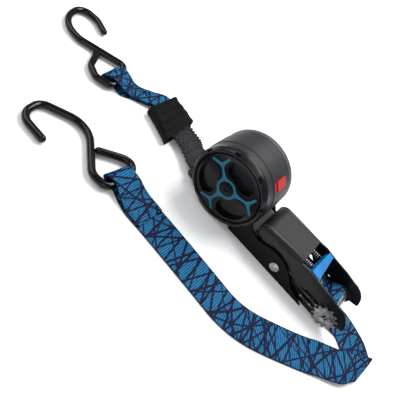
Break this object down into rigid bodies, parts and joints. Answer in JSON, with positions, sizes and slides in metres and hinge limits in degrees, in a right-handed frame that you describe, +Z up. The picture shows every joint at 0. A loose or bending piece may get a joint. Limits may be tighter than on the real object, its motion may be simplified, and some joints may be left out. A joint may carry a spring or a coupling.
{
  "type": "ratchet tie down",
  "caption": "Ratchet tie down with a webbing reel, a winding ratchet with handle and trigger, patterned webbing and an S-hook at each end.",
  "frame": {"origin": "On the flat foot of the reel, below the reel's axis and midway across the webbing; z is 0 on the floor that the tool lies on", "axes": "+X from the reel towards the winding spindle, +Y along the spindle away from the winding dial, +Z up from the floor"},
  "size_m": [0.4661, 0.1626, 0.077],
  "materials": {
    "black_steel": "satin black coating",
    "cover_plastic": "fine matte texture",
    "zinc_steel": "bright zinc plate",
    "spring_wire": "drawn wire",
    "trigger_plastic": "smooth blue plastic",
    "grip_rubber": "soft matte grip",
    "drum_plastic": "fine matte texture",
    "ring_plastic": "gloss black",
    "inlay_plastic": "teal blue",
    "button_plastic": "red orange",
    "webbing": "ribbed woven polyester with a dark crossed-line pattern",
    "hook_vinyl": "dipped vinyl coat",
    "strap_rubber": "moulded matte rubber",
    "sleeve_fabric": "matte black knitted tube"
  },
  "bodies": {
    "frame": {"ratchet_frame": "black_steel", "side_cover_near": "cover_plastic", "side_cover_far": "cover_plastic", "frame_rivet": "zinc_steel", "rivet_sleeve": "zinc_steel", "lock_spring_seat": "black_steel", "lock_pawl_springs": "spring_wire", "drum_body": "drum_plastic", "drum_rear_cap": "cover_plastic", "drum_front_ring": "ring_plastic", "case_screws": "zinc_steel", "spool_axle": "zinc_steel", "anchor_pin": "zinc_steel", "button_spring": "spring_wire", "webbing_feed": "webbing", "webbing_long": "webbing"},
    "handle": {"handle_plate_near": "black_steel", "handle_plate_far": "black_steel", "handle_grip": "grip_rubber", "handle_cross_pin": "zinc_steel", "pawl_spring_seat": "black_steel", "drive_pawl_springs": "spring_wire"},
    "trigger": {"drive_pawl": "zinc_steel", "release_trigger": "trigger_plastic"},
    "lock_slide": {"lock_pawl": "zinc_steel"},
    "spindle": {"spindle_front": "zinc_steel", "spindle_rear": "zinc_steel", "ratchet_gear_near": "zinc_steel", "ratchet_gear_far": "zinc_steel", "webbing_core": "webbing"},
    "reel_spool": {"spool": "drum_plastic", "winder_dial": "ring_plastic", "dial_inlay": "inlay_plastic", "dial_screw": "zinc_steel", "webbing_roll": "webbing"},
    "button": {"reel_button": "button_plastic", "reel_latch": "zinc_steel"},
    "tail": {"tread_strap": "strap_rubber", "keeper_sleeve": "sleeve_fabric", "webbing_short": "webbing"},
    "short_hook": {"hook_short": "hook_vinyl"},
    "long_hook": {"hook_long": "hook_vinyl"}
  },
  "joints": [
    {"name": "handle_swing", "type": "hinge", "parent": "frame", "child": "handle", "pos_m": [0.14, 0, 0.013], "axis": [0, 1, 0], "range_deg": [0, 150]},
    {"name": "drive_pawl_slide", "type": "slide", "parent": "handle", "child": "trigger", "axis": [-1, 0, 0], "range_m": [-0.0018, 0.004], "stiffness_N_per_m": 900, "deforming": ["drive_pawl_springs"]},
    {"name": "lock_pawl_slide", "type": "slide", "parent": "frame", "child": "lock_slide", "axis": [-1, 0, 0], "range_m": [-0.0018, 0.003], "stiffness_N_per_m": 900, "deforming": ["lock_pawl_springs"]},
    {"name": "spindle_spin", "type": "hinge", "parent": "frame", "child": "spindle", "pos_m": [0.14, 0, 0.013], "axis": [0, 1, 0], "continuous": true},
    {"name": "spool_spin", "type": "hinge", "parent": "frame", "child": "reel_spool", "pos_m": [0, 0, 0.038], "axis": [0, 1, 0], "continuous": true},
    {"name": "button_press", "type": "slide", "parent": "frame", "child": "button", "axis": [-0.7314, 0, -0.682], "range_m": [0, 0.0025], "stiffness_N_per_m": 800, "deforming": ["button_spring"]},
    {"name": "tail_swing", "type": "hinge", "parent": "frame", "child": "tail", "pos_m": [-0.0355, 0, 0.009], "axis": [0, 1, 0], "range_deg": [0, 60]},
    {"name": "hook_short_swing", "type": "hinge", "parent": "tail", "child": "short_hook", "pos_m": [-0.1625, 0.002, 0.0053], "axis": [-0.4695, 0.8829, 0], "range_deg": [0, 90]},
    {"name": "hook_long_swing", "type": "hinge", "parent": "frame", "child": "long_hook", "pos_m": [-0.067, -0.0795, 0.0053], "axis": [-0.0698, 0.9976, 0], "range_deg": [0, 90]}
  ]
}
